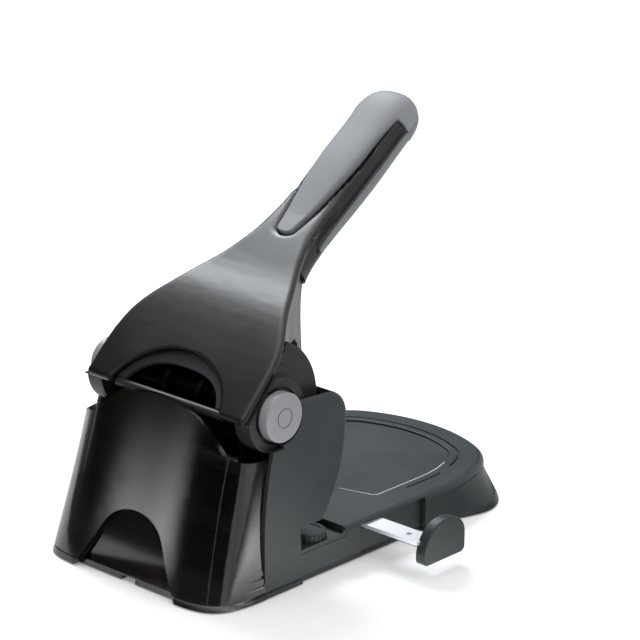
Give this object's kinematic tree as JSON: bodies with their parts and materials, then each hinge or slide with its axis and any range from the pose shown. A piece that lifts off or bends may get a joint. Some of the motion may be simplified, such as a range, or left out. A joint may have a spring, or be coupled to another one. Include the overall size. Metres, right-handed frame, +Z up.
{
  "type": "two-hole punch",
  "caption": "Heavy-duty desk punch: a long lever drives a pair of pins through a stack of paper laid on a rounded table, with a side guide and a pull-out chip bin.",
  "frame": {"origin": "on the table under the punch line, halfway between the two pins", "axes": "+X across the machine to the right of the user, +Y from the user's side to the chip bin, +Z up"},
  "size_m": [0.1877, 0.2558, 0.2289],
  "materials": {
    "black_plastic": "moulded, fine satin texture",
    "gloss_lever": "glossy slate black",
    "grip_light": "soft-touch light grey",
    "grip_dark": "soft-touch mid grey",
    "cap_grey": "satin mid grey",
    "smoked": "smoked translucent, polished",
    "steel": "bright zinc plated",
    "dark_steel": "hardened and oiled",
    "rubber_black": "matt rubber"
  },
  "bodies": {
    "base": {"base_tray": "black_plastic", "base_cover": "black_plastic", "rubber_feet": "rubber_black", "base_plate": "steel", "base_screws": "steel", "frame_side_left": "dark_steel", "frame_side_right": "dark_steel", "tie_rods": "steel", "front_tie_bar": "steel", "housing_screws": "steel", "die_plate": "dark_steel", "die_screws": "steel", "pin_guide_block": "dark_steel", "head_housing": "black_plastic", "pivot_shaft": "steel", "shaft_clips": "dark_steel", "guide_rail": "black_plastic", "guide_clamp_bar": "steel"},
    "press": {"press_bar": "dark_steel", "punch_pin_left": "dark_steel", "punch_pin_right": "dark_steel", "return_spring_left": "steel", "return_spring_right": "steel"},
    "lever": {"lever_core": "steel", "core_bushes": "black_plastic", "cam_pin": "dark_steel", "lever_top_cover": "gloss_lever", "lever_under_cover": "black_plastic", "grip_top": "grip_light", "grip_bottom": "grip_dark", "lever_screws": "steel", "pivot_cap_left": "cap_grey", "pivot_cap_right": "cap_grey"},
    "guide": {"guide_strip": "steel", "guide_end_cap": "black_plastic", "guide_rivet": "steel"},
    "knob": {"guide_lock_knob": "black_plastic", "knob_stud": "steel"},
    "bin": {"chip_bin": "smoked"}
  },
  "joints": [
    {"name": "lever_hinge", "type": "hinge", "parent": "base", "child": "lever", "pos_m": [0, 0.0224, 0.0964], "axis": [1, 0, 0], "range_deg": [0, 30], "stiffness_Nm_per_rad": 2.4, "springref_deg": -14.32},
    {"name": "press_slide", "type": "slide", "parent": "base", "child": "press", "axis": [0, 0, -1], "range_m": [0, 0.0119], "deforming": ["return_spring_left", "return_spring_right"]},
    {"name": "guide_slide", "type": "slide", "parent": "base", "child": "guide", "axis": [-1, 0, 0], "range_m": [-0.029, 0.043]},
    {"name": "lock_knob_turn", "type": "hinge", "parent": "base", "child": "knob", "pos_m": [-0.0562, -0.0054, 0.021], "axis": [0, 0, 1], "range_deg": [0, 180]},
    {"name": "bin_pull", "type": "slide", "parent": "base", "child": "bin", "axis": [0, 1, 0], "range_m": [0, 0.095]}
  ],
  "couplings": [
    {"joint": "press_slide", "follows": "lever_hinge", "m_per_rad": 0.022536}
  ]
}
